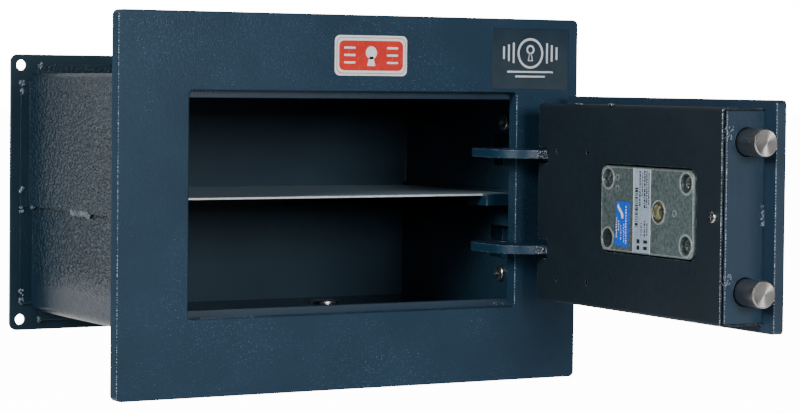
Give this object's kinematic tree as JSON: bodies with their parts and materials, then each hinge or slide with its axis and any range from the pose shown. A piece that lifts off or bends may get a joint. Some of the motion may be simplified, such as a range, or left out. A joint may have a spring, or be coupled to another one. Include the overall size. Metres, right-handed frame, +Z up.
{
  "type": "wall safe",
  "caption": "Built-in wall safe with a thick front frame, swinging steel door, round locking bolts, knob, electronic keypad and an inner shelf.",
  "frame": {"origin": "centre of the rear plate's back face, which is also the centre of its four anchor holes", "axes": "+X to the right seen from in front, +Y into the wall (from the doorway towards the rear plate), +Z up"},
  "size_m": [0.3911, 0.492, 0.265],
  "materials": {
    "frame_paint": "dark petrol blue hammered paint",
    "body_paint": "grey-blue hammered paint, thinner than on the front",
    "door_paint": "dark petrol blue hammered paint",
    "cover_paint": "near black blue hammered paint",
    "bare_steel": "bare turned steel",
    "zinc": "zinc, mottled",
    "plated": "bright zinc plate",
    "brass": "turned brass",
    "knob_plastic": "black satin",
    "pad_plastic": "black satin",
    "key_rubber": "grey",
    "board_green": "circuit board",
    "label_white": "gloss label",
    "label_clear": "clear film over the paint",
    "label_silver": "silver label",
    "label_blue": "blue label",
    "coil_black": "moulded coil"
  },
  "bodies": {
    "safe_body": {"front_frame": "frame_paint", "upper_shell": "body_paint", "lower_shell": "body_paint", "rear_plate": "body_paint", "door_stop_top": "frame_paint", "door_stop_bottom": "frame_paint", "shelf": "cover_paint", "shelf_lugs": "cover_paint", "hinge_housing": "body_paint", "housing_screws": "plated", "hinge_brackets": "cover_paint", "hinge_pins": "bare_steel", "floor_plug": "plated", "frame_label_white": "label_white", "frame_label_clear": "label_clear"},
    "door": {"door_plate": "door_paint", "side_plate": "frame_paint", "inner_cover": "cover_paint", "cover_screw": "plated", "hinge_arm_upper": "cover_paint", "hinge_arm_lower": "cover_paint", "lock_case": "zinc", "lock_lid": "zinc", "lock_screws": "plated", "lock_pillars": "bare_steel", "lock_solenoid": "coil_black", "spindle_tube": "brass", "lock_strip": "label_silver", "lock_sticker": "label_blue", "guide_studs": "bare_steel", "knob_bush": "plated", "keypad_base": "pad_plastic", "keypad_board": "board_green", "keypad_posts": "pad_plastic", "battery_lid": "pad_plastic"},
    "knob": {"knob": "knob_plastic", "knob_shaft": "bare_steel", "drive_cam": "plated"},
    "bolt_work": {"bolt_carriage": "plated", "bolt_upper": "bare_steel", "bolt_lower": "bare_steel"},
    "lock_bolt": {"lock_bolt": "brass"},
    "key_1": {"key_1": "key_rubber"},
    "key_2": {"key_2": "key_rubber"},
    "key_3": {"key_3": "key_rubber"},
    "key_4": {"key_4": "key_rubber"},
    "key_5": {"key_5": "key_rubber"},
    "key_6": {"key_6": "key_rubber"},
    "key_7": {"key_7": "key_rubber"},
    "key_8": {"key_8": "key_rubber"},
    "key_9": {"key_9": "key_rubber"},
    "key_clear": {"key_clear": "key_rubber"},
    "key_0": {"key_0": "key_rubber"},
    "key_enter": {"key_enter": "key_rubber"}
  },
  "joints": [
    {"name": "door_swing", "type": "hinge", "parent": "safe_body", "child": "door", "pos_m": [0.1583, -0.1955, 0], "axis": [0, 0, 1], "range_deg": [-88, 5]},
    {"name": "knob_turn", "type": "hinge", "parent": "door", "child": "knob", "pos_m": [0.17458, -0.28792, 0], "axis": [-0.9994, 0.0349, 0], "range_deg": [0, 91]},
    {"name": "bolt_slide", "type": "slide", "parent": "door", "child": "bolt_work", "axis": [0.0349, 0.9994, 0], "range_m": [0, 0.015]},
    {"name": "lock_bolt_slide", "type": "slide", "parent": "door", "child": "lock_bolt", "axis": [0.0349, 0.9994, 0], "range_m": [0, 0.008]},
    {"name": "key_1_press", "type": "slide", "parent": "door", "child": "key_1", "axis": [-0.9994, 0.0349, 0], "range_m": [0, 0.001], "stiffness_N_per_m": 800},
    {"name": "key_2_press", "type": "slide", "parent": "door", "child": "key_2", "axis": [-0.9994, 0.0349, 0], "range_m": [0, 0.001], "stiffness_N_per_m": 800},
    {"name": "key_3_press", "type": "slide", "parent": "door", "child": "key_3", "axis": [-0.9994, 0.0349, 0], "range_m": [0, 0.001], "stiffness_N_per_m": 800},
    {"name": "key_4_press", "type": "slide", "parent": "door", "child": "key_4", "axis": [-0.9994, 0.0349, 0], "range_m": [0, 0.001], "stiffness_N_per_m": 800},
    {"name": "key_5_press", "type": "slide", "parent": "door", "child": "key_5", "axis": [-0.9994, 0.0349, 0], "range_m": [0, 0.001], "stiffness_N_per_m": 800},
    {"name": "key_6_press", "type": "slide", "parent": "door", "child": "key_6", "axis": [-0.9994, 0.0349, 0], "range_m": [0, 0.001], "stiffness_N_per_m": 800},
    {"name": "key_7_press", "type": "slide", "parent": "door", "child": "key_7", "axis": [-0.9994, 0.0349, 0], "range_m": [0, 0.001], "stiffness_N_per_m": 800},
    {"name": "key_8_press", "type": "slide", "parent": "door", "child": "key_8", "axis": [-0.9994, 0.0349, 0], "range_m": [0, 0.001], "stiffness_N_per_m": 800},
    {"name": "key_9_press", "type": "slide", "parent": "door", "child": "key_9", "axis": [-0.9994, 0.0349, 0], "range_m": [0, 0.001], "stiffness_N_per_m": 800},
    {"name": "key_clear_press", "type": "slide", "parent": "door", "child": "key_clear", "axis": [-0.9994, 0.0349, 0], "range_m": [0, 0.001], "stiffness_N_per_m": 800},
    {"name": "key_0_press", "type": "slide", "parent": "door", "child": "key_0", "axis": [-0.9994, 0.0349, 0], "range_m": [0, 0.001], "stiffness_N_per_m": 800},
    {"name": "key_enter_press", "type": "slide", "parent": "door", "child": "key_enter", "axis": [-0.9994, 0.0349, 0], "range_m": [0, 0.001], "stiffness_N_per_m": 800}
  ],
  "couplings": [
    {"joint": "knob_turn", "follows": "bolt_slide", "rad_per_m": 104.72}
  ]
}
